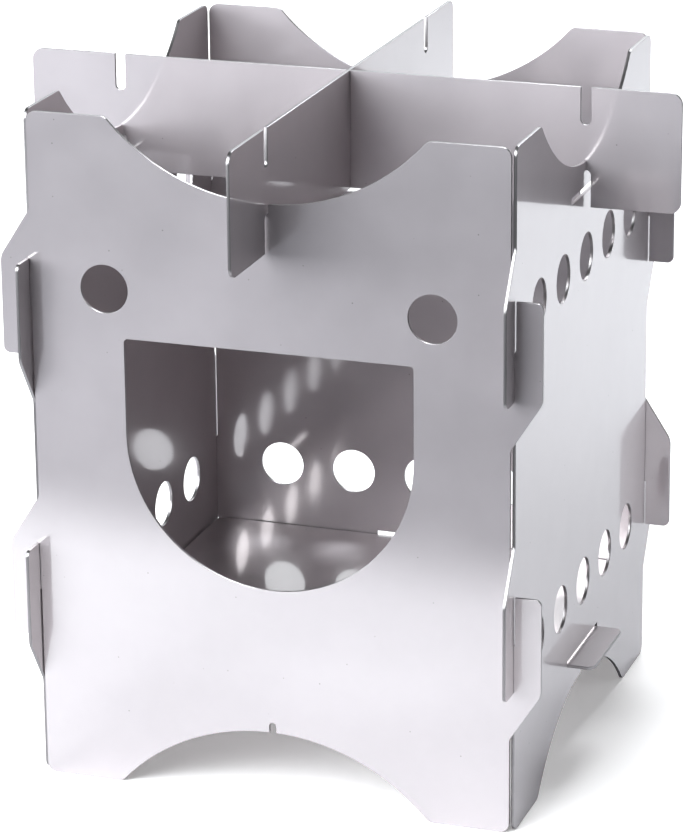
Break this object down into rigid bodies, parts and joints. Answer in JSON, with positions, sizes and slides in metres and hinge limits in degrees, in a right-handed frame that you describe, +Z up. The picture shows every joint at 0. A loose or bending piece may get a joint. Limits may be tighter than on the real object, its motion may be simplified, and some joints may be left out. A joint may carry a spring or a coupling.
{
  "type": "hobo stove",
  "caption": "Flat-pack wood stove of slotted stainless sheet: vented side panels with scooped tops, a fuel window, a floor plate and crossed lift-off pot bars.",
  "frame": {"origin": "on the ground under the middle of the stove, at the centre of its plan", "axes": "+Z up; the panel with the fuel window faces -Y; +X to the right of someone facing that window"},
  "size_m": [0.209, 0.209, 0.21],
  "materials": {
    "panel_steel": "bright rolled stainless sheet, almost a mirror close by and soft further off",
    "plate_steel": "bright rolled stainless sheet, laid flat",
    "bar_steel": "bright rolled stainless strip with cut edges"
  },
  "bodies": {
    "firebox": {"front_panel": "panel_steel", "back_panel": "panel_steel", "left_panel": "panel_steel", "right_panel": "panel_steel", "floor_plate": "plate_steel"},
    "lower_bar": {"left_right_bar": "bar_steel"},
    "upper_bar": {"front_back_bar": "bar_steel"}
  },
  "joints": [
    {"name": "lower_bar_lift", "type": "slide", "parent": "firebox", "child": "lower_bar", "axis": [0, 0, 1], "range_m": [0, 0.04]},
    {"name": "upper_bar_lift", "type": "slide", "parent": "lower_bar", "child": "upper_bar", "axis": [0, 0, 1], "range_m": [0, 0.04]}
  ]
}
